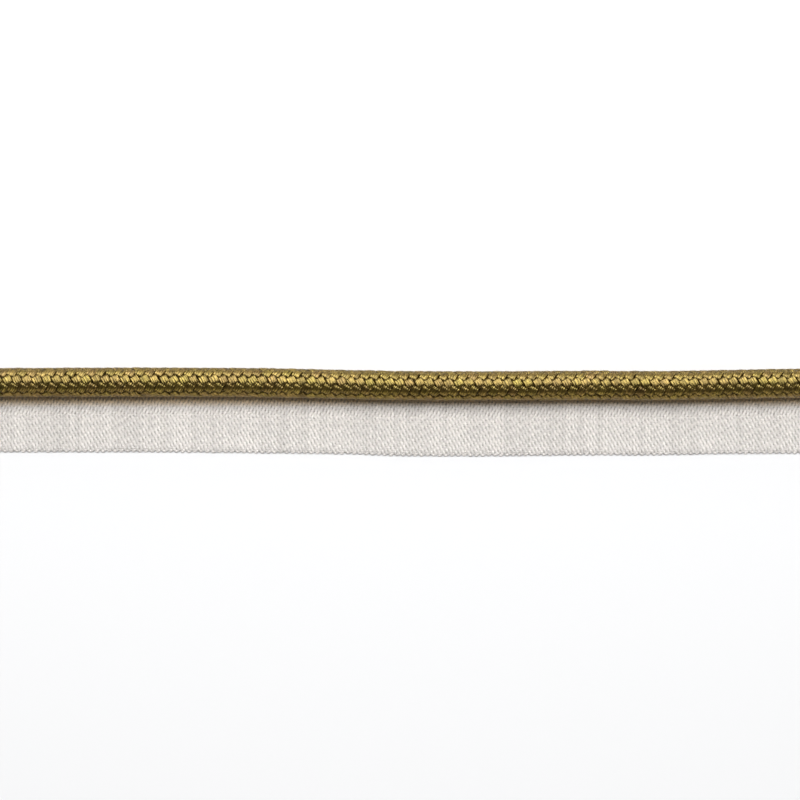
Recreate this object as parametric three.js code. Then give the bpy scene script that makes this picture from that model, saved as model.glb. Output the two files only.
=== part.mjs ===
// A cut length of flanged piping trim: a round braided cord, carried along one edge of a flat woven tape.
// Millimetres. +X runs along the trim, +Y from the tape's free edge towards the back of the cord, +Z up.
// The origin is on the surface that the tape lies on, under the cord's axis, at mid-length.

import * as THREE from "three";

// Driving dimensions
const LENGTH = 200;
const CORD_DIAMETER = 6;
const TAPE_WIDTH = 15;
const TAPE_THICKNESS = 1;
const TAPE_BEHIND_AXIS = 0.75; // how far the tape reaches behind the cord's axis, where the cord is sewn to it
const SEAM_LINE_Y = -3.2; // the flange's inner edge, just clear of the cord
const PRESSED_BY_CORD = 0.05; // how much thinner the tape is at its back edge, under the cord
const SEAT_GAP = 0.3; // between the tape's face and the lowest point of the cord

// The cord is a diamond braid of 10 yarns, so it shows 10 columns of floats along its length.
const COLUMNS = 10;
const FIRST_COLUMN_ANGLE = THREE.MathUtils.degToRad(10); // from the crest of the cord back to a column
const STITCHES = 101; // floats in one column, which makes each 1.98 mm long
const FLOAT_RELIEF = 0.3; // how far a float stands above the crossings at its corners

// The tape's long edges are rounded, as a woven selvage is.
const EDGE_RADIUS = 0.45;
const EDGE_SEGMENTS = 3;
const TAPE_STEPS = 50;

// The trim lies almost straight. y is the cord axis's sideways wander, and extra is what the tape's free edge
// has on top of its even width, both at x along the trim.
const ROUTE = [
  { x: -100, y: 0.6, extra: 0 },
  { x: -75, y: 0.63, extra: 0 },
  { x: -50, y: 0.69, extra: 0.03 },
  { x: -30, y: 0.59, extra: 0.14 },
  { x: -10, y: 0.2, extra: -0.04 },
  { x: 0, y: 0, extra: 0.14 },
  { x: 20, y: -0.04, extra: 0.12 },
  { x: 40, y: 0.05, extra: 0 },
  { x: 52, y: -0.02, extra: -0.06 },
  { x: 65, y: 0.18, extra: -0.08 },
  { x: 80, y: 0.46, extra: 0.1 },
  { x: 100, y: 0.6, extra: 0 },
];

// Sizes worked out from those above
const CORD_RADIUS = CORD_DIAMETER / 2;
const COLUMN_ANGLE = (2 * Math.PI) / COLUMNS;
const CORD_STEPS = 2 * STITCHES; // neighbouring columns are half a stitch apart
const CORD_AXIS_Z = TAPE_THICKNESS + SEAT_GAP + CORD_RADIUS * Math.cos(FIRST_COLUMN_ANGLE);
const TAPE_FRONT_Y = TAPE_BEHIND_AXIS - TAPE_WIDTH;

const finishes = {
  cord: new THREE.MeshStandardMaterial({ color: 0x97803f, roughness: 0.5, metalness: 0 }),
  tape: new THREE.MeshStandardMaterial({ color: 0xdedad2, roughness: 0.95, metalness: 0 }),
};

// The route's curve at one height above the surface.
function routeCurve(z) {
  return new THREE.CatmullRomCurve3(ROUTE.map((station) => new THREE.Vector3(station.x, station.y, z)));
}

// A closed section of [y, z] points swept along the route. A path that runs along +X lays a section's own x
// downwards and its own y towards +Y.
function sweep(points, z, steps) {
  const section = new THREE.Shape(points.map(([y, up]) => new THREE.Vector2(-up, y)));
  const options = { steps, extrudePath: routeCurve(z), bevelEnabled: false };
  return new THREE.ExtrudeGeometry(section, options);
}

// Moves every point of a geometry by a function that changes the point in place.
function movePoints(geometry, move) {
  const places = geometry.getAttribute("position");
  const point = new THREE.Vector3();
  for (let i = 0; i < places.count; i++) {
    move(point.fromBufferAttribute(places, i));
    places.setXYZ(i, point.x, point.y, point.z);
  }
  geometry.computeVertexNormals();
  return geometry;
}

// The value of one of the route's columns at x, straight between its stations.
function alongRoute(column, x) {
  const next = Math.max(1, ROUTE.findIndex((station) => station.x >= x));
  const [a, b] = [ROUTE[next - 1], ROUTE[next]];
  return THREE.MathUtils.mapLinear(x, a.x, b.x, a[column], b[column]);
}

// The braided cord. Its section has one point at the middle of each column, and every other step of a column
// is a float's crown, the steps between being the crossings, drawn in by the relief.
function braidedCord() {
  const section = [];
  for (let column = 0; column < COLUMNS; column++) {
    const turn = FIRST_COLUMN_ANGLE + column * COLUMN_ANGLE;
    section.push([CORD_RADIUS * Math.sin(turn), CORD_RADIUS * Math.cos(turn)]);
  }
  const axis = routeCurve(CORD_AXIS_Z).getSpacedPoints(CORD_STEPS);
  const geometry = movePoints(sweep(section, CORD_AXIS_Z, CORD_STEPS), (point) => {
    const step = Math.round(((point.x + LENGTH / 2) / LENGTH) * CORD_STEPS);
    const centre = axis[step];
    const turn = Math.atan2(point.y - centre.y, point.z - centre.z);
    const column = Math.round((turn - FIRST_COLUMN_ANGLE) / COLUMN_ANGLE);
    const crossing = (step + column) % 2 !== 0;
    if (crossing) point.sub(centre).multiplyScalar(1 - FLOAT_RELIEF / CORD_RADIUS).add(centre);
  });
  return new THREE.Mesh(geometry, finishes.cord);
}

// A quarter of a round edge, from one angle to the next, about a centre [y, z].
function roundEdge([y, z], from) {
  return Array.from({ length: EDGE_SEGMENTS + 1 }, (_, i) => {
    const turn = from + (i / EDGE_SEGMENTS) * (Math.PI / 2);
    return [y + EDGE_RADIUS * Math.cos(turn), z + EDGE_RADIUS * Math.sin(turn)];
  });
}

// The tape, flat underneath, with its two long edges rounded over. In front of the seam line its upper face is
// flat too.
function wovenTape() {
  const shoulder = TAPE_THICKNESS - EDGE_RADIUS;
  const section = [
    [TAPE_FRONT_Y, 0],
    [TAPE_BEHIND_AXIS, 0],
    ...roundEdge([TAPE_BEHIND_AXIS - EDGE_RADIUS, shoulder - PRESSED_BY_CORD], 0),
    [SEAM_LINE_Y, TAPE_THICKNESS],
    ...roundEdge([TAPE_FRONT_Y + EDGE_RADIUS, shoulder], Math.PI / 2),
  ];
  const geometry = movePoints(sweep(section, 0, TAPE_STEPS), (point) => {
    const inFront = point.y < TAPE_FRONT_Y / 2;
    if (inFront) point.y -= alongRoute("extra", point.x);
  });
  return new THREE.Mesh(geometry, finishes.tape);
}

const trim = new THREE.Group();
const pieces = { braided_cord: braidedCord(), woven_tape: wovenTape() };
for (const [name, mesh] of Object.entries(pieces)) {
  mesh.name = name;
  trim.add(mesh);
}

export default trim;
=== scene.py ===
"""Flanged piping trim: a lustrous braided cord carried along one edge of a woven herringbone tape.

It is laid out as a Blender add-on. Each operator makes one piece or group of like pieces, from the sizes
and colours in the scene's properties, and main() runs them in order.
"""

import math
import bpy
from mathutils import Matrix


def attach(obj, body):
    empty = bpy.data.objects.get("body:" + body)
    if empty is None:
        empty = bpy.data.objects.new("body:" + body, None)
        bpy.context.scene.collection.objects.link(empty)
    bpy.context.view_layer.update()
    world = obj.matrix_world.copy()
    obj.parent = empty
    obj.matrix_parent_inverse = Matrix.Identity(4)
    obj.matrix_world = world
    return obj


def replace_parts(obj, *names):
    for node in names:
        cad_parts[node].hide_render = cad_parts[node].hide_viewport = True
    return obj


bl_info = {
    "name": "Flanged Piping Trim",
    "version": (1, 0, 0),
    "blender": (4, 5, 0),
    "location": "View3D > Sidebar > Piping Trim",
    "description": "Braids the cord and weaves the tape of a length of flanged piping, yarn by yarn",
    "category": "Add Mesh",
}

import bmesh
import bpy
import numpy as np
from bpy.props import FloatProperty, FloatVectorProperty, IntProperty, PointerProperty
from bpy.types import Operator, Panel, PropertyGroup
from mathutils import Vector

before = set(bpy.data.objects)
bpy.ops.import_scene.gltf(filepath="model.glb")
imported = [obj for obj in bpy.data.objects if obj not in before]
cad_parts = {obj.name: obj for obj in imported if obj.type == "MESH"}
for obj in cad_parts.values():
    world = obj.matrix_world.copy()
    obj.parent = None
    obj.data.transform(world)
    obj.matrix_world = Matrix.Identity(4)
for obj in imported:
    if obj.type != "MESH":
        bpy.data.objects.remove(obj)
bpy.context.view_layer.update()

MM = 0.001

# The line that the trim lies along: the cord axis's sideways wander, and what the tape's free edge has on
# top of its even width, both at a distance along the trim
ROUTE_X = np.array([-100, -75, -50, -30, -10, 0, 20, 40, 52, 65, 80, 100]) * MM
ROUTE_Y = np.array([0.6, 0.63, 0.69, 0.59, 0.2, 0, -0.04, 0.05, -0.02, 0.18, 0.46, 0.6]) * MM
ROUTE_EXTRA = np.array([0, 0, 0.03, 0.14, -0.04, 0.14, 0.12, 0, -0.06, -0.08, 0.1, 0]) * MM

# Where the tape leaves its flat shape, places across it being measured from the cord's axis
EDGE_REACH = 1.2 * MM  # width of the strip along the front edge that thins towards the selvage
RISE_FROM = -2.6 * MM  # place where it starts to rise to the cord
RISE_TO = 0.4 * MM  # place where it stops rising

# Painted bounce light: a warm tint on the tape beside the cord for the light that the gold cord throws on
# it, which grows from the first place or height to the second
PAINTED_BOUNCE_ACROSS = (-4.4 * MM, -3.2 * MM)
PAINTED_BOUNCE_HEIGHT = (0.3 * MM, 0.6 * MM)

CUT_DEPTH = 0.02 * MM  # how far in from the trim's two ends the finish of a cut yarn reaches

# The thin ground inside the weave
GROUND_HEIGHT = 0.45 * MM
GROUND_THICKNESS = 0.1 * MM
GROUND_CELLS = (120, 12)  # along the tape and across it

# The section of a flat braided yarn
YARN_EDGE_HEIGHT = 0.05 * MM  # of its two edges, above its middle
YARN_UNDER_WIDTH = 0.7  # of its flat underside, as a part of its width
YARN_UNDER_DEPTH = 0.45  # of that underside below its middle, as a part of its thickness

# The filling of yarn ends inside the braid
INSIDE_DEPTH = 0.25  # how far under the outer face of the dipping yarns it lies, in yarn thicknesses
INSIDE_RINGS = 101

SPARE_CROSSINGS = 3  # what each braided yarn has beyond the trim's two ends before it is cut flush

# Points round each kind of yarn
INSIDE_SIDES = 24
WEFT_SIDES = 6
WARP_SIDES = 5

# How unevenly the yarns lie: the usual difference from even, as a length or as a part of the value
CORD_DRIFT = 0.07 * MM  # along and round the cord
CORD_RISE = 0.015 * MM
CRIMP_SPREAD = 0.06
CORD_WIDTH_SPREAD = 0.05
CORD_LOT_SPREAD = 0.25
PICK_DRIFT = 0.025 * MM  # of a whole pick, along the tape
WEFT_DRIFT = 0.03 * MM  # of a point of a pick along the tape, and of a whole loop across it
WEFT_RISE = 0.035 * MM
WEFT_WIDTH_SPREAD = 0.07
WEFT_LOTS = (0.2, 0.8)  # range of the shades of whole yarns
WEFT_LOT_SPREAD = 0.3  # along one yarn
WARP_DRIFT = 0.01 * MM  # across the tape and up and down
WARP_WIDTH_SPREAD = 0.05

CELLULOSE_IOR = 1.53  # of both viscose and cotton
SURFACE_REACH = 1.5  # metres from the middle of the white surface to its edges

# Angles of the two low lights from straight above
BACK_TILT = math.radians(62)
FRONT_TILT = math.radians(78)

RNG_SEED = 12  # all the unevenness comes from this seed, so each run gives the same trim


def linear(hex_colour):
    """Linear red, green, blue and alpha of an sRGB hex colour."""
    values = [int(hex_colour[i : i + 2], 16) / 255 for i in (1, 3, 5)]
    return tuple(v / 12.92 if v <= 0.04045 else ((v + 0.055) / 1.055) ** 2.4 for v in values) + (1.0,)


def size(label, text, default_mm):
    """A length property whose default is given in millimetres."""
    return FloatProperty(
        name=label, description=text, default=default_mm * MM, min=0, subtype="DISTANCE", unit="LENGTH",
        precision=5,
    )


def angle(label, text, default_degrees):
    """An angle property whose default is given in degrees."""
    return FloatProperty(
        name=label, description=text, default=math.radians(default_degrees), subtype="ANGLE",
        unit="ROTATION",
    )


def number(label, text, default, unit="NONE"):
    """A property that is a plain number, or one in a unit of its own."""
    return FloatProperty(name=label, description=text, default=default, min=0, unit=unit)


def count(label, text, default):
    """A property that counts like things."""
    return IntProperty(name=label, description=text, default=default, min=1)


def colour(label, text, default_hex):
    """A colour property whose default is given as an sRGB hex value."""
    return FloatVectorProperty(
        name=label, description=text, default=linear(default_hex), size=4, min=0, max=1, subtype="COLOR"
    )


class TrimSizes(PropertyGroup):
    """Sizes of the whole trim"""

    length: size("Length", "Cut length of cord and tape", 200)
    cord_diameter: size("Cord diameter", "Outer diameter of the braid", 6)
    cord_axis_height: size("Cord axis height", "How far the cord's axis lies above the surface", 4.254)
    tape_width: size("Tape width", "Width of the tape from selvage to selvage", 15)
    tape_behind_axis: size("Tape behind axis", "How far the tape reaches behind the cord's axis", 0.75)


class BraidSizes(PropertyGroup):
    """Sizes of the cord's diamond braid"""

    columns: count("Columns", "Columns of floats round the cord, one for each yarn", 10)
    first_column: angle("First column", "How far behind the cord's crest the first column lies", 10)
    stitches: count("Stitches", "Floats along one column", 101)
    yarn_width: size("Yarn width", "Width of one flat braided yarn", 1.8)
    yarn_thickness: size("Yarn thickness", "Thickness of one flat braided yarn", 0.66)
    crown: size("Crown", "How much lower a yarn's edges lie than its middle", 0.1)
    crimp: size("Crimp", "How far a yarn rises and falls from its middle as it crosses the others", 0.34)
    float_flatness: number("Float flatness", "How flat a float stays before it dives under the next", 4.2)
    ends: count("Ends", "Twisted ends that lie side by side in one yarn", 4)
    end_depth: size("End depth", "Depth of the grooves between those ends", 0.15)


class TapeSizes(PropertyGroup):
    """Sizes of the tape's herringbone twill"""

    ends: count("Ends", "Warp yarns across the tape", 38)
    selvage: size("Selvage", "How far the outermost end lies from the tape's edge", 0.5)
    picks: count("Picks", "Weft yarns along the tape", 320)
    repeat: count("Repeat", "Ends and picks in one repeat of the twill", 4)
    weft_width: size("Weft width", "Width of a weft yarn", 0.56)
    weft_thickness: size("Weft thickness", "Thickness of a weft yarn", 0.42)
    weft_over: size("Weft over", "Height of a weft yarn's middle where it floats on the face", 0.73)
    weft_under: size("Weft under", "Height of a weft yarn's middle where it dips under one end", 0.3)
    weft_lean: size("Weft lean", "How far a float's ends lean sideways from its middle", 0.13)
    weft_crowns: size("Weft crowns", "How much higher a float's two ends stand than its middle", 0.12)
    dip_width: number("Dip width", "How wide the dip of a weft yarn under an end is, in ends", 0.6)
    warp_width: size("Warp width", "Width of a warp yarn", 0.36)
    warp_thickness: size("Warp thickness", "Thickness of a warp yarn", 0.3)
    warp_over: size("Warp over", "Height of a warp yarn's middle where it shows on the face", 0.66)
    warp_under: size("Warp under", "Height of a warp yarn's middle where the floats hide it", 0.38)
    back_rise: size("Back rise", "How far the back selvage is drawn up to the cord", 0.2)
    edge_drop: size("Edge drop", "How far the front selvage sinks to the surface", 0.02)
    edge_thinning: number("Edge thinning", "Part of its thickness that the tape's front loses", 0.6)


class TrimColours(PropertyGroup):
    """Colours of the yarns and of the surface they lie on"""

    gold: colour("Gold", "The cord's yarn", "#8E7936")
    brown_gold: colour("Brown gold", "The browner lots of the cord's yarn", "#8A6F3A")
    # Painted shade: the same viscose as the gold, drawn dark for the shade inside the braid
    inside: colour("Inside", "The shaded yarn inside the braid", "#43340F")
    cut: colour("Cut", "The cut yarn ends at both ends of the cord", "#8F7A45")
    ivory: colour("Ivory", "The tape's weft", "#E4DFDA")
    warp: colour("Warp", "The tape's warp", "#D9D4CE")
    # Painted shade: the ground is drawn darker than the warp for the shade between the picks
    ground: colour("Ground", "The shaded yarn between the tape's picks", "#9C958B")
    # Painted bounce light: the tint for the light that the gold cord throws on the tape beside it
    painted_bounce: colour("Haze", "Tint that the haze of the cord's fibres gives the tape beside it", "#FFEBC8")
    paper: colour("Paper", "The white surface", "#E4E4E4")


class LightSettings(PropertyGroup):
    """Camera and lights of the stage"""

    lens: number("Lens", "Focal length", 120, "CAMERA")
    view_width: size("View width", "Width that the camera sees at the trim", 162.7)
    view_shift: size("View shift", "How far in front of the cord's axis the middle of the view lies", 2.93)
    view_height: size("View height", "Height above the surface at which the view has its width", 2.5)
    key_power: number("Key power", "Power of the main light", 11.9, "POWER")
    key_tilt: angle("Key tilt", "Angle of the main light from straight above", 21)
    key_size: size("Key size", "Side of the main light, and of the two low ones", 500)
    key_colour: colour("Key colour", "Colour of the main light, and of the two low ones", "#FFFFFF")
    lustre_power: number("Lustre power", "Power of the light that glints on the cord", 31, "POWER")
    lustre_tilt: angle("Lustre tilt", "Angle of that light from straight above", 42)
    lustre_size: size("Lustre size", "Side of that light", 1300)
    lustre_colour: colour("Lustre colour", "Colour of that light", "#DBE4FF")
    back_power: number("Back power", "Power of the low light behind the cord", 1.8, "POWER")
    front_power: number("Front power", "Power of the low light in front of the trim", 1.5, "POWER")
    fill: number("Fill", "Strength of the even light from all round", 0.2)


def wander(x):
    """The cord axis's sideways place at x, along a smooth curve through the route's stations."""
    slopes = np.gradient(ROUTE_Y, ROUTE_X)
    i = np.clip(np.searchsorted(ROUTE_X, x) - 1, 0, len(ROUTE_X) - 2)
    span = ROUTE_X[i + 1] - ROUTE_X[i]
    t = np.clip((x - ROUTE_X[i]) / span, 0, 1)
    start, end = ROUTE_Y[i], ROUTE_Y[i + 1]
    leave, arrive = slopes[i] * span, slopes[i + 1] * span
    return (
        start * (2 * t**3 - 3 * t**2 + 1) + leave * (t**3 - 2 * t**2 + t)
        + end * (3 * t**2 - 2 * t**3) + arrive * (t**3 - t**2)
    )


def smooth_step(x, low, high):
    """0 up to low, 1 from high, and smooth between."""
    t = np.clip((x - low) / (high - low), 0, 1)
    return t * t * (3 - 2 * t)


def tube_template(rings, sides):
    """A closed tube of rings with sides points each, and the ring and side of each of its points.

    It is a cylinder whose long edges are cut. Its sides are counted from +Y towards +X, seen along +Z.
    """
    bm = bmesh.new()
    bmesh.ops.create_cone(
        bm, cap_ends=True, cap_tris=False, segments=sides, radius1=1, radius2=1, depth=rings - 1
    )
    long_edges = [e for e in bm.edges if abs(e.verts[0].co.z - e.verts[1].co.z) > 0.5]
    bmesh.ops.subdivide_edges(bm, edges=long_edges, cuts=rings - 2, use_grid_fill=True)
    mesh = bpy.data.meshes.new("tube_template")
    bm.to_mesh(mesh)
    bm.free()
    points = np.empty(len(mesh.vertices) * 3)
    mesh.vertices.foreach_get("co", points)
    points = points.reshape(-1, 3)
    ring = np.rint(points[:, 2] + (rings - 1) / 2).astype(int)
    side = np.rint(np.arctan2(points[:, 0], points[:, 1]) / (2 * math.pi / sides)).astype(int) % sides
    return mesh, ring, side


def unit(vectors):
    """The vectors at length 1."""
    return vectors / np.linalg.norm(vectors, axis=-1, keepdims=True)


def around_paths(paths, ups, section, widths):
    """Points of tubes round paths: one for each path, ring and side.

    section holds each side's place across and above a path, and widths scales it across, ring by ring.
    """
    along = unit(np.gradient(paths, axis=1))
    across = unit(np.cross(ups, along))
    above = np.cross(along, across)
    sideways = section[:, 0] * widths[..., None]
    return (
        paths[:, :, None, :]
        + across[:, :, None, :] * sideways[..., None]
        + above[:, :, None, :] * section[None, None, :, 1, None]
    )


def round_section(width, thickness, sides):
    """An oval yarn's section, its sides in the order of tube_template."""
    turn = np.arange(sides) * 2 * math.pi / sides
    return np.stack([np.sin(turn) * width / 2, np.cos(turn) * thickness / 2], axis=1)


def run_lengths(paths):
    """How far along its own path each ring stands, in millimetres."""
    steps = np.linalg.norm(np.diff(paths, axis=1), axis=2)
    return np.concatenate([np.zeros((len(paths), 1)), np.cumsum(steps, axis=1)], axis=1) / MM


def yarn_mesh(name, points, runs, section, shades):
    """One mesh of closed tubes from points by tube, ring and side.

    Its UV map runs along each yarn and across it, in millimetres. shades holds attributes by name, each
    with a value for every ring, which the yarn's material reads.
    """
    tubes, rings, sides, _ = points.shape
    template, ring, side = tube_template(rings, sides)
    bm = bmesh.new()
    for _ in range(tubes):
        bm.from_mesh(template)
    mesh = bpy.data.meshes.new(name)
    bm.to_mesh(mesh)
    bm.free()
    bpy.data.meshes.remove(template)
    mesh.vertices.foreach_set("co", points[:, ring, side].astype(np.float32).ravel())
    corners = np.empty(len(mesh.loops), int)
    mesh.loops.foreach_get("vertex_index", corners)
    across = np.broadcast_to(section[side, 0] / MM, (tubes, len(side)))
    places = np.stack([runs[:, ring], across], axis=2).reshape(-1, 2)
    uv = mesh.uv_layers.new(name="yarn_mm")
    uv.data.foreach_set("uv", places[corners].astype(np.float32).ravel())
    for shade, values in shades.items():
        attribute = mesh.attributes.new(shade, "FLOAT", "POINT")
        attribute.data.foreach_set("value", values[:, ring].astype(np.float32).ravel())
    mesh.shade_smooth()
    mesh.update()
    return mesh


def cut_flush(mesh, half_length):
    """Cuts the tubes square at both ends of the trim and closes the cuts."""
    bm = bmesh.new()
    bm.from_mesh(mesh)
    for end in (-1, 1):
        geometry = bm.verts[:] + bm.edges[:] + bm.faces[:]
        cut = bmesh.ops.bisect_plane(
            bm, geom=geometry, plane_co=(end * half_length, 0, 0), plane_no=(end, 0, 0), clear_outer=True
        )
        rim = [e for e in cut["geom_cut"] if isinstance(e, bmesh.types.BMEdge)]
        bmesh.ops.holes_fill(bm, edges=rim, sides=0)
    bm.to_mesh(mesh)
    bm.free()


def add_piece(name, mesh, material):
    """Puts a finished mesh in the scene, at the origin, on the trim's one body."""
    piece = bpy.data.objects.new(name, mesh)
    bpy.context.scene.collection.objects.link(piece)
    piece.data.materials.append(material)
    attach(piece, "root")
    return piece


def add_node(tree, kind, inputs, **settings):
    """Adds a node. An input given a socket is linked to it, and any other is set."""
    node = tree.nodes.new(kind)
    for name, value in settings.items():
        setattr(node, name, value)
    for name, value in inputs.items():
        if isinstance(value, bpy.types.NodeSocket):
            tree.links.new(value, node.inputs[name])
        else:
            node.inputs[name].default_value = value
    return node


def new_material(name):
    """A new material, and its node tree with nothing in it yet."""
    material = bpy.data.materials.new(name)
    material.use_nodes = True
    tree = material.node_tree
    tree.nodes.clear()
    return material, tree


def yarn_streaks(tree, along_per_mm, across_per_mm, detail):
    """Noise drawn out along a yarn, like its filaments or fibres, with so many streaks a millimetre."""
    place = add_node(tree, "ShaderNodeUVMap", {}, uv_map="yarn_mm")
    stretch = add_node(
        tree, "ShaderNodeMapping", {"Vector": place.outputs[0], "Scale": (along_per_mm, across_per_mm, 1)}
    )
    return add_node(
        tree, "ShaderNodeTexNoise",
        {"Vector": stretch.outputs[0], "Scale": 1.0, "Detail": detail, "Roughness": 0.55},
        noise_dimensions="2D",
    )


def at_cut_ends(tree):
    """A socket that is 1 on the trim's two cut ends, and 0 between them."""
    sizes = bpy.context.scene.trim_sizes
    place = add_node(tree, "ShaderNodeTexCoord", {})
    axes = add_node(tree, "ShaderNodeSeparateXYZ", {0: place.outputs["Object"]})
    along = add_node(tree, "ShaderNodeMath", {0: axes.outputs["X"]}, operation="ABSOLUTE")
    edge = sizes.length / 2 - CUT_DEPTH
    at_cut = add_node(tree, "ShaderNodeMath", {0: along.outputs[0], 1: edge}, operation="GREATER_THAN")
    return at_cut.outputs[0]


def braided_viscose():
    """Filament viscose, loosely twisted and braided.

    The eye sees a silky lustre that runs across the filaments, fine streaks along them, floats of slightly
    different shade, dull ends where the yarns are cut, and painted shade where each yarn dips under the
    next.
    """
    colours = bpy.context.scene.trim_colours
    material, tree = new_material("viscose_filament_braided")
    lot = add_node(tree, "ShaderNodeAttribute", {}, attribute_name="lot")
    shade = add_node(
        tree, "ShaderNodeMix",
        {"Factor": lot.outputs["Fac"], "A": colours.gold, "B": colours.brown_gold}, data_type="RGBA",
    )
    # Viscose filaments are far finer than this, and are drawn 0.16 mm wide so that they show.
    streaks = yarn_streaks(tree, 0.7, 6.0, 3.0)
    darker = add_node(
        tree, "ShaderNodeMapRange",
        {"Value": streaks.outputs["Fac"], "From Min": 0.3, "From Max": 0.7, "To Min": 0.45, "To Max": 1.45},
    )
    # Bundles of filaments about 0.4 mm wide differ in shade.
    bundles = yarn_streaks(tree, 0.25, 2.4, 1.0)
    bundled = add_node(
        tree, "ShaderNodeMapRange",
        {"Value": bundles.outputs["Fac"], "From Min": 0.35, "From Max": 0.65, "To Min": 0.7, "To Max": 1.2},
    )
    # Painted shade: a yarn is drawn darker where it dips under the next one, for the shade in the creases
    # between floats.
    floating = add_node(tree, "ShaderNodeAttribute", {}, attribute_name="float")
    dip = add_node(
        tree, "ShaderNodeMapRange",
        {"Value": floating.outputs["Fac"], "From Min": 0.55, "From Max": 1, "To Min": 0.32, "To Max": 1},
    )
    level = darker
    for factor in (bundled, dip):
        level = add_node(
            tree, "ShaderNodeMath", {0: level.outputs[0], 1: factor.outputs[0]}, operation="MULTIPLY"
        )
    streaked = add_node(
        tree, "ShaderNodeVectorMath",
        {0: shade.outputs["Result"], 1: level.outputs[0]}, operation="MULTIPLY",
    )
    bump = add_node(
        tree, "ShaderNodeBump",
        {"Height": streaks.outputs["Fac"], "Strength": 0.6, "Distance": 0.06 * MM},
    )
    # Light comes back from among the filaments in their own colour, much as from a metal. Where the yarns
    # are cut, the eye looks at the filaments' ends, which have no lustre.
    at_cut = at_cut_ends(tree)
    coloured = add_node(
        tree, "ShaderNodeMix",
        {"Factor": at_cut, "A": streaked.outputs[0], "B": colours.cut}, data_type="RGBA",
    )
    lustrous = add_node(tree, "ShaderNodeMapRange", {"Value": at_cut, "To Min": 0.85, "To Max": 0.0})
    rough = add_node(tree, "ShaderNodeMapRange", {"Value": at_cut, "To Min": 0.34, "To Max": 0.85})
    along = add_node(tree, "ShaderNodeTangent", {}, direction_type="UV_MAP", uv_map="yarn_mm")
    shader = add_node(
        tree, "ShaderNodeBsdfPrincipled",
        {
            "Base Color": coloured.outputs["Result"], "Normal": bump.outputs[0],
            "Metallic": lustrous.outputs[0], "Roughness": rough.outputs[0], "IOR": CELLULOSE_IOR,
            "Anisotropic": 0.5, "Anisotropic Rotation": 0.25, "Tangent": along.outputs[0],
        },
    )
    add_node(tree, "ShaderNodeOutputMaterial", {"Surface": shader.outputs[0]})
    return material


def shaded_viscose():
    """The same viscose inside the braid, painted dark for the shade there.

    The eye sees a dull dark yarn through the crossings, and lighter yarn ends where it is cut.
    """
    colours = bpy.context.scene.trim_colours
    material, tree = new_material("viscose_inside_braid_painted_shade")
    place = add_node(tree, "ShaderNodeTexCoord", {})
    # Cut yarn ends about 0.4 mm across, packed side by side, with painted shade in the gaps between them
    # and a bump that rounds each one.
    grain = add_node(
        tree, "ShaderNodeTexVoronoi",
        {"Vector": place.outputs["Object"], "Scale": 1 / (0.4 * MM), "Randomness": 0.8},
    )
    painted_gap_shade_and_relief = add_node(
        tree, "ShaderNodeMapRange",
        {"Value": grain.outputs["Distance"], "From Min": 0.2, "From Max": 0.8, "To Min": 1, "To Max": 0.35},
    )
    base = add_node(
        tree, "ShaderNodeMix",
        {"Factor": at_cut_ends(tree), "A": colours.inside, "B": colours.cut}, data_type="RGBA",
    )
    shade = add_node(
        tree, "ShaderNodeVectorMath",
        {0: base.outputs["Result"], 1: painted_gap_shade_and_relief.outputs[0]}, operation="MULTIPLY",
    )
    bump = add_node(
        tree, "ShaderNodeBump",
        {"Height": painted_gap_shade_and_relief.outputs[0], "Strength": 0.5, "Distance": 0.1 * MM},
    )
    shader = add_node(
        tree, "ShaderNodeBsdfPrincipled",
        {
            "Base Color": shade.outputs[0], "Normal": bump.outputs[0], "Roughness": 0.85,
            "IOR": CELLULOSE_IOR,
        },
    )
    add_node(tree, "ShaderNodeOutputMaterial", {"Surface": shader.outputs[0]})
    return material


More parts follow.
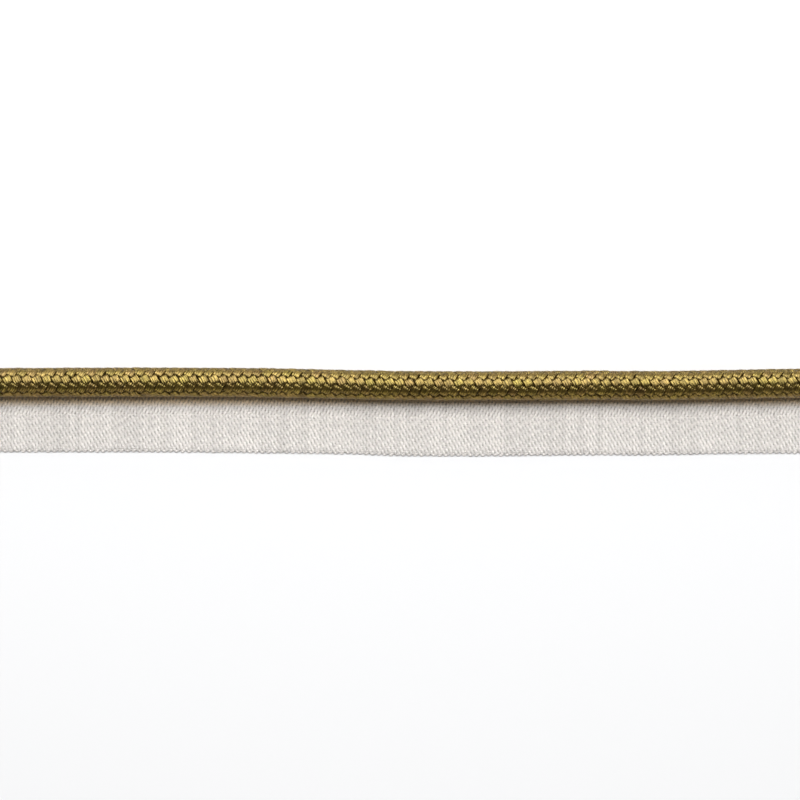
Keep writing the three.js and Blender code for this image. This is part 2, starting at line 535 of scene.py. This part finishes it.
def woven_cotton(name, base):
    """Spun cotton yarn, woven and undyed.

    The eye sees a matt ivory thread with short fibres and a soft fuzz.
    """
    material, tree = new_material(name)
    fibres = yarn_streaks(tree, 2.2, 7.0, 3.0)
    lot = add_node(tree, "ShaderNodeAttribute", {}, attribute_name="lot")
    lift = add_node(
        tree, "ShaderNodeMapRange",
        {"Value": fibres.outputs["Fac"], "From Min": 0.3, "From Max": 0.7, "To Min": 0.86, "To Max": 1.07},
    )
    shade = add_node(
        tree, "ShaderNodeMapRange", {"Value": lot.outputs["Fac"], "To Min": 0.86, "To Max": 1.1}
    )
    level = add_node(
        tree, "ShaderNodeMath", {0: lift.outputs[0], 1: shade.outputs[0]}, operation="MULTIPLY"
    )
    fibre_colour = add_node(
        tree, "ShaderNodeVectorMath", {0: base[:3], 1: level.outputs[0]}, operation="MULTIPLY"
    )
    # Painted bounce light: the upper face beside the cord takes a warm tint, about 1 mm wide, for the light
    # that the gold cord throws on it.
    place = add_node(tree, "ShaderNodeTexCoord", {})
    axes = add_node(tree, "ShaderNodeSeparateXYZ", {0: place.outputs["Object"]})
    near = add_node(
        tree, "ShaderNodeMapRange",
        {"Value": axes.outputs["Y"], "From Min": PAINTED_BOUNCE_ACROSS[0], "From Max": PAINTED_BOUNCE_ACROSS[1]},
    )
    upper = add_node(
        tree, "ShaderNodeMapRange",
        {"Value": axes.outputs["Z"], "From Min": PAINTED_BOUNCE_HEIGHT[0], "From Max": PAINTED_BOUNCE_HEIGHT[1]},
    )
    painted_bounce = add_node(
        tree, "ShaderNodeMath", {0: near.outputs[0], 1: upper.outputs[0]}, operation="MULTIPLY"
    )
    tint = add_node(
        tree, "ShaderNodeMix",
        {"Factor": painted_bounce.outputs[0], "A": (1.0, 1.0, 1.0, 1.0), "B": bpy.context.scene.trim_colours.painted_bounce},
        data_type="RGBA",
    )
    tinted = add_node(
        tree, "ShaderNodeVectorMath",
        {0: fibre_colour.outputs[0], 1: tint.outputs["Result"]}, operation="MULTIPLY",
    )
    bump = add_node(
        tree, "ShaderNodeBump",
        {"Height": fibres.outputs["Fac"], "Strength": 0.6, "Distance": 0.05 * MM},
    )
    shader = add_node(
        tree, "ShaderNodeBsdfPrincipled",
        {
            "Base Color": tinted.outputs[0], "Normal": bump.outputs[0], "Roughness": 0.85,
            "IOR": CELLULOSE_IOR, "Sheen Weight": 0.1, "Sheen Roughness": 0.5,
        },
    )
    add_node(tree, "ShaderNodeOutputMaterial", {"Surface": shader.outputs[0]})
    return material


def white_paper():
    """Smooth white paper, which the light all but burns out."""
    material, tree = new_material("paper_white_smooth")
    shader = add_node(
        tree, "ShaderNodeBsdfPrincipled",
        {"Base Color": bpy.context.scene.trim_colours.paper, "Roughness": 0.9},
    )
    add_node(tree, "ShaderNodeOutputMaterial", {"Surface": shader.outputs[0]})
    return material


def end_section(braid):
    """A flat yarn's section: its ends side by side over the top, and plain underneath.

    An end has three sides between two grooves. The section starts and stops at the top's middle.
    """
    corners = 3 * braid.ends
    spread = np.linspace(-1, 1, corners + 1)
    across = braid.yarn_width / 2 * spread
    groove = np.arange(corners + 1) % 3 == 0
    above = braid.yarn_thickness / 2 - braid.crown * spread**2 - braid.end_depth * groove
    above[[0, -1]] = YARN_EDGE_HEIGHT
    top = np.stack([across, above], axis=1)
    right = np.array([YARN_UNDER_WIDTH * braid.yarn_width / 2, -YARN_UNDER_DEPTH * braid.yarn_thickness])
    under = np.stack([right, right * [-1, 1]])
    middle = corners // 2
    return np.concatenate([top[middle:], under, top[:middle]])


def braid_paths(trim, braid, winding, rng):
    """Paths, outward directions, widths, shades and swings of the yarns that wind one way, 1 or -1.

    A place round the cord is counted in columns. Yarns that wind one way float on the even columns, and
    those that wind the other way on the odd ones. The swing is 1 where a yarn floats and -1 where it dips.
    """
    half_stitch = trim.length / 2 / braid.stitches
    reach = braid.stitches + SPARE_CROSSINGS
    # Rings stand closest where a float dives under the next yarn. Each place is counted from its middle.
    places = np.array([0, 0.2, 0.33, 0.42, 0.47, 0.53, 0.6, 0.8, 1.2, 1.4, 1.47, 1.53, 1.58, 1.67, 1.8])
    float_middle = 0 if winding < 0 else 1
    steps = np.concatenate([float_middle + 2 * i + places for i in range(-reach // 2, reach // 2 + 1)])
    yarns = braid.columns // 2
    column = 2 * np.arange(yarns)[:, None] + winding * steps
    middle = trim.cord_diameter / 2 - braid.crimp - braid.yarn_thickness / 2
    wave = np.tanh(braid.float_flatness * np.cos(math.pi * column))
    swing = -winding * wave / math.tanh(braid.float_flatness)
    marks = np.arange(-reach, reach + SPARE_CROSSINGS + 1)

    def uneven(amount):
        """A value for each crossing of each yarn, smooth between them."""
        values = rng.normal(0, amount, (yarns, len(marks)))
        return np.array([np.interp(steps, marks, row) for row in values])

    radius = middle + braid.crimp * swing * (1 + uneven(CRIMP_SPREAD)) + uneven(CORD_RISE)
    turn = braid.first_column + column * 2 * math.pi / braid.columns + uneven(CORD_DRIFT) / middle
    x = steps * half_stitch + uneven(CORD_DRIFT)
    ups = np.stack([np.zeros_like(x), np.sin(turn), np.cos(turn)], axis=2)
    paths = ups * radius[..., None]
    paths[..., 0] = x
    widths = 1 + uneven(CORD_WIDTH_SPREAD)
    lots = np.clip(0.5 + uneven(CORD_LOT_SPREAD), 0, 1)
    return paths, ups, widths, lots, swing


def twill_place(tape, end, pick):
    """Where an end stands in a pick's repeat, from 0 where the pick dips under it, up to the repeat.

    The twill turns round at the tape's middle, with the break of half a repeat that makes a herringbone.
    """
    counted = np.where(end < tape.ends / 2, end, tape.ends + 1 - end)
    return np.mod(counted - pick, tape.repeat)


def end_place(trim, tape, end):
    """An end's place across the tape, end 0 being the front one."""
    front = trim.tape_behind_axis - trim.tape_width
    return front + tape.selvage + end * (trim.tape_width - 2 * tape.selvage) / (tape.ends - 1)


def tape_line(trim, tape, x, y, z):
    """Bends flat woven points to the line that the trim lies along, with the tape's own uneven edge."""
    front = trim.tape_behind_axis - trim.tape_width
    toward_edge = smooth_step(y, front / 2, front)
    extra = np.interp(x, ROUTE_X, ROUTE_EXTRA)
    at_edge = 1 - smooth_step(y, front, front + EDGE_REACH)
    rise = tape.back_rise * smooth_step(y, RISE_FROM, RISE_TO) - tape.edge_drop * at_edge
    z = z * (1 - tape.edge_thinning * at_edge) + rise
    return np.stack([x, y + wander(x) - extra * toward_edge, z], axis=-1)


def weft_paths(trim, tape, pairs, rng):
    """Paths, widths and shades of the weft, two picks to a path, joined by a loop round each selvage."""
    spacing = trim.length / tape.picks
    forwards = np.arange(2 * tape.ends - 1) / 2
    backwards = forwards[::-1]
    half_loop = np.radians([45, 90, 135])

    def pick_line(pick, ends):
        """x, y and z of a pick at each of the ends that it crosses, and half way between them."""
        place = twill_place(tape, ends[None, :], pick[:, None])
        from_float = np.mod(place, tape.repeat) - tape.repeat / 2
        from_dip = np.minimum(place, tape.repeat - place)
        dip = np.exp(-((from_dip / tape.dip_width) ** 2))
        turn = 2 * math.pi * from_float / tape.repeat
        crowns = tape.weft_crowns / 2 * np.cos(2 * turn) * (1 - dip)
        height = tape.weft_over + (tape.weft_under - tape.weft_over) * dip - crowns
        x = (pick[:, None] + 0.5) * spacing - trim.length / 2 - tape.weft_lean * np.sin(turn)
        x = x + rng.normal(0, PICK_DRIFT, (len(pick), 1)) + rng.normal(0, WEFT_DRIFT, x.shape)
        y = np.broadcast_to(end_place(trim, tape, ends), x.shape)
        return x, y, height + rng.normal(0, WEFT_RISE, x.shape)

    def loop(centre_pick, turns, behind):
        """x, y and z of part of a selvage loop about the gap after a pick."""
        edge = end_place(trim, tape, tape.ends - 1 if behind else 0)
        reach = (1 if behind else -1) * (tape.selvage - tape.weft_thickness / 2)
        centre = (centre_pick[:, None] + 1) * spacing - trim.length / 2
        x = centre - spacing / 2 * np.cos(turns)
        y = edge + reach * np.sin(turns) + rng.normal(0, WEFT_DRIFT, (len(centre_pick), 1))
        z = np.full_like(x, (tape.weft_over + tape.weft_under) / 2)
        return x, y, z

    forth, back = 2 * pairs, 2 * pairs + 1
    parts = [
        loop(forth - 1, half_loop[1:], True),
        pick_line(forth, backwards),
        loop(forth, half_loop, False),
        pick_line(back, forwards),
        loop(back, half_loop[:2], True),
    ]
    x, y, z = (np.concatenate([part[i] for part in parts], axis=1) for i in range(3))
    widths = 1 + rng.normal(0, WEFT_WIDTH_SPREAD, x.shape)
    lots = rng.uniform(*WEFT_LOTS, (len(pairs), 1)) + rng.normal(0, WEFT_LOT_SPREAD, x.shape)
    paths = tape_line(trim, tape, x, y, z)
    # The tape lies on the surface, and no yarn sinks into it.
    paths[..., 2] = np.maximum(paths[..., 2], widths * tape.weft_thickness / 2)
    return paths, widths, np.clip(lots, 0, 1)


def warp_paths(trim, tape, rng):
    """Paths, widths and shades of the warp, with a ring at each pick."""
    spacing = trim.length / tape.picks
    pick = np.arange(-1, tape.picks + 1)[None, :]
    end = np.arange(tape.ends)[:, None]
    over = twill_place(tape, end, pick) == 0
    z = np.where(over, tape.warp_over, tape.warp_under) + rng.normal(0, WARP_DRIFT, over.shape)
    x = (pick + 0.5) * spacing - trim.length / 2 + np.zeros_like(z)
    y = end_place(trim, tape, end) + rng.normal(0, WARP_DRIFT, over.shape)
    widths = 1 + rng.normal(0, WARP_WIDTH_SPREAD, over.shape)
    lots = np.repeat(rng.uniform(0, 1, (tape.ends, 1)), pick.size, axis=1)
    return tape_line(trim, tape, x, y, z), widths, lots


def add_soft_box(name, power, light_colour, tilt, turn, side):
    """A square light a metre from the trim that faces it.

    It stands straight behind the cord, or turned from there round to the right, and is tilted from above.
    """
    data = bpy.data.lights.new(name, "AREA")
    data.shape = "SQUARE"
    data.size = side
    data.energy = power
    data.color = light_colour[:3]
    lamp = bpy.data.objects.new(name, data)
    lamp.location = (math.sin(tilt) * math.sin(turn), math.sin(tilt) * math.cos(turn), math.cos(tilt))
    lamp.rotation_euler = lamp.location.to_track_quat("Z", "Y").to_euler()
    bpy.context.scene.collection.objects.link(lamp)
    return lamp


class TRIM_OT_cord_yarns(Operator):
    """Braid the cord's ten flat yarns, five winding each way"""

    bl_idname = "trim.cord_yarns"
    bl_label = "Cord Yarns"

    def execute(self, context):
        trim, braid = context.scene.trim_sizes, context.scene.trim_braid
        rng = np.random.default_rng(RNG_SEED)
        section = end_section(braid)
        material = braided_viscose()
        for winding, way in ((1, "right"), (-1, "left")):
            paths, ups, widths, lots, floats = braid_paths(trim, braid, winding, rng)
            points = around_paths(paths, ups, section, widths)
            points[..., 1] += wander(points[..., 0])
            points[..., 2] += trim.cord_axis_height
            runs = run_lengths(paths)
            for i in range(len(paths)):
                name = f"cord_yarn_{way}_{i + 1}"
                one = slice(i, i + 1)
                # The float attribute also sets the painted shade where each yarn dips under the next, in
                # the yarn's material.
                shades = {"lot": lots[one], "float": floats[one]}
                mesh = yarn_mesh(name, points[one], runs[one], section, shades)
                cut_flush(mesh, trim.length / 2)
                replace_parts(add_piece(name, mesh, material), "braided_cord")
        return {"FINISHED"}


class TRIM_OT_cord_inside(Operator):
    """Fill the braid with the body that shows between its yarns, painted dark for the shade inside"""

    bl_idname = "trim.cord_inside"
    bl_label = "Cord Inside"

    def execute(self, context):
        trim, braid = context.scene.trim_sizes, context.scene.trim_braid
        radius = trim.cord_diameter / 2 - 2 * braid.crimp - INSIDE_DEPTH * braid.yarn_thickness
        x = np.linspace(-trim.length / 2, trim.length / 2, INSIDE_RINGS)[None, :]
        paths = np.stack([x, wander(x), np.full_like(x, trim.cord_axis_height)], axis=2)
        ups = np.zeros_like(paths) + [0, 0, 1]
        section = round_section(2 * radius, 2 * radius, INSIDE_SIDES)
        points = around_paths(paths, ups, section, np.ones_like(x))
        points[..., 0] = x[..., None]
        mesh = yarn_mesh("cord_inside", points, run_lengths(paths), section, {})
        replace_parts(add_piece("cord_inside", mesh, shaded_viscose()), "braided_cord")
        return {"FINISHED"}


class TRIM_OT_tape_weft(Operator):
    """Weave the tape's weft, with the floats of its herringbone and the loops of its selvages"""

    bl_idname = "trim.tape_weft"
    bl_label = "Tape Weft"

    def execute(self, context):
        trim, tape = context.scene.trim_sizes, context.scene.trim_tape
        rng = np.random.default_rng(RNG_SEED + 1)
        section = round_section(tape.weft_width, tape.weft_thickness, WEFT_SIDES)
        material = woven_cotton("cotton_spun_weft", context.scene.trim_colours.ivory)
        pairs = np.arange(tape.picks // 2)
        for half, name in enumerate(("tape_weft_left", "tape_weft_right")):
            mine = pairs[half * len(pairs) // 2 : (half + 1) * len(pairs) // 2]
            paths, widths, lots = weft_paths(trim, tape, mine, rng)
            ups = np.zeros_like(paths) + [0, 0, 1]
            points = around_paths(paths, ups, section, widths)
            # Its lowest faces lie flat on the surface.
            points[..., 2] = np.maximum(points[..., 2], 0)
            mesh = yarn_mesh(name, points, run_lengths(paths), section, {"lot": lots})
            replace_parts(add_piece(name, mesh, material), "woven_tape")
        return {"FINISHED"}


class TRIM_OT_tape_warp(Operator):
    """Weave the tape's warp, which shows as one bead in each repeat"""

    bl_idname = "trim.tape_warp"
    bl_label = "Tape Warp"

    def execute(self, context):
        trim, tape = context.scene.trim_sizes, context.scene.trim_tape
        rng = np.random.default_rng(RNG_SEED + 2)
        section = round_section(tape.warp_width, tape.warp_thickness, WARP_SIDES)
        paths, widths, lots = warp_paths(trim, tape, rng)
        ups = np.zeros_like(paths) + [0, 0, 1]
        points = around_paths(paths, ups, section, widths)
        mesh = yarn_mesh("tape_warp", points, run_lengths(paths), section, {"lot": lots})
        cut_flush(mesh, trim.length / 2)
        material = woven_cotton("cotton_spun_warp", context.scene.trim_colours.warp)
        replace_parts(add_piece("tape_warp", mesh, material), "woven_tape")
        return {"FINISHED"}


class TRIM_OT_tape_ground(Operator):
    """Lay the thin ground inside the weave, which closes it where the yarns leave pinholes, in a darker
    colour painted for the shade there
    """

    bl_idname = "trim.tape_ground"
    bl_label = "Tape Ground"

    def execute(self, context):
        trim, tape = context.scene.trim_sizes, context.scene.trim_tape
        bm = bmesh.new()
        bmesh.ops.create_grid(bm, x_segments=GROUND_CELLS[0], y_segments=GROUND_CELLS[1], size=0.5)
        bmesh.ops.solidify(bm, geom=bm.faces[:], thickness=GROUND_THICKNESS)
        front = trim.tape_behind_axis - trim.tape_width
        for vert in bm.verts:
            x = vert.co.x * trim.length
            y = front + trim.tape_width / 2 + vert.co.y * (trim.tape_width - tape.selvage)
            vert.co = Vector(tape_line(trim, tape, x, y, vert.co.z + GROUND_HEIGHT))
        mesh = bpy.data.meshes.new("tape_ground")
        bmesh.ops.recalc_face_normals(bm, faces=bm.faces[:])
        bm.to_mesh(mesh)
        bm.free()
        uv = mesh.uv_layers.new(name="yarn_mm")
        for corner in mesh.loops:
            place = mesh.vertices[corner.vertex_index].co / MM
            uv.data[corner.index].uv = (place.x, place.y)
        material = woven_cotton("cotton_ground_painted_shade", context.scene.trim_colours.ground)
        ground = add_piece("tape_ground", mesh, material)
        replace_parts(ground, "woven_tape")
        return {"FINISHED"}


class TRIM_OT_stage(Operator):
    """Set the white surface, the camera straight above and the soft lights"""

    bl_idname = "trim.stage"
    bl_label = "Stage"

    def execute(self, context):
        scene, light = context.scene, context.scene.trim_light
        bm = bmesh.new()
        bmesh.ops.create_grid(bm, x_segments=1, y_segments=1, size=SURFACE_REACH)
        floor_mesh = bpy.data.meshes.new("surface")
        bm.to_mesh(floor_mesh)
        bm.free()
        floor_mesh.materials.append(white_paper())
        floor = bpy.data.objects.new("surface", floor_mesh)
        scene.collection.objects.link(floor)

        camera_data = bpy.data.cameras.new("camera")
        camera_data.lens = light.lens
        camera = bpy.data.objects.new("camera", camera_data)
        distance = light.lens / camera_data.sensor_width * light.view_width
        camera.location = (0, -light.view_shift, distance + light.view_height)
        scene.collection.objects.link(camera)
        scene.camera = camera

        # The key light and the low one at the back give the shade and the shadows. The broad lustre light
        # and the low one in front give the glints.
        key = add_soft_box("key", light.key_power, light.key_colour, light.key_tilt, 0, light.key_size)
        key.visible_glossy = False
        lustre = add_soft_box(
            "lustre", light.lustre_power, light.lustre_colour, light.lustre_tilt, 0, light.lustre_size
        )
        lustre.visible_diffuse = False
        front = add_soft_box(
            "front", light.front_power, light.key_colour, FRONT_TILT, math.pi, light.key_size
        )
        front.visible_diffuse = False
        back = add_soft_box("back", light.back_power, light.key_colour, BACK_TILT, 0, light.key_size)
        back.visible_glossy = False

        world = bpy.data.worlds.new("even_light")
        world.use_nodes = True
        sky = world.node_tree.nodes["Background"]
        sky.inputs["Color"].default_value = (1, 1, 1, 1)
        sky.inputs["Strength"].default_value = light.fill
        world.cycles_visibility.glossy = False
        scene.world = world
        scene.view_settings.view_transform = "Standard"
        return {"FINISHED"}


class TRIM_PT_panel(Panel):
    """Lists the trim's operators, with their sizes and colours"""

    bl_label = "Piping Trim"
    bl_idname = "TRIM_PT_panel"
    bl_space_type = "VIEW_3D"
    bl_region_type = "UI"
    bl_category = "Piping Trim"

    def draw(self, context):
        for group in ("trim_sizes", "trim_braid", "trim_tape", "trim_colours", "trim_light"):
            box = self.layout.box()
            settings = getattr(context.scene, group)
            for name in settings.__annotations__:
                box.prop(settings, name)
        for operator in OPERATORS:
            self.layout.operator(operator.bl_idname)


GROUPS = {
    "trim_sizes": TrimSizes,
    "trim_braid": BraidSizes,
    "trim_tape": TapeSizes,
    "trim_colours": TrimColours,
    "trim_light": LightSettings,
}
OPERATORS = (
    TRIM_OT_stage,
    TRIM_OT_cord_yarns,
    TRIM_OT_cord_inside,
    TRIM_OT_tape_weft,
    TRIM_OT_tape_warp,
    TRIM_OT_tape_ground,
)


def register():
    """Registers the classes and hangs each group of settings on the scene."""
    for cls in (*GROUPS.values(), *OPERATORS, TRIM_PT_panel):
        bpy.utils.register_class(cls)
    for name, group in GROUPS.items():
        setattr(bpy.types.Scene, name, PointerProperty(type=group))


def unregister():
    """Takes the settings and the classes away again."""
    for name in GROUPS:
        delattr(bpy.types.Scene, name)
    for cls in reversed((*GROUPS.values(), *OPERATORS, TRIM_PT_panel)):
        bpy.utils.unregister_class(cls)


def main():
    """Makes the whole trim and its stage."""
    register()
    bpy.ops.trim.stage()
    bpy.ops.trim.cord_yarns()
    bpy.ops.trim.cord_inside()
    bpy.ops.trim.tape_weft()
    bpy.ops.trim.tape_warp()
    bpy.ops.trim.tape_ground()


if __name__ == "__main__":
    main()
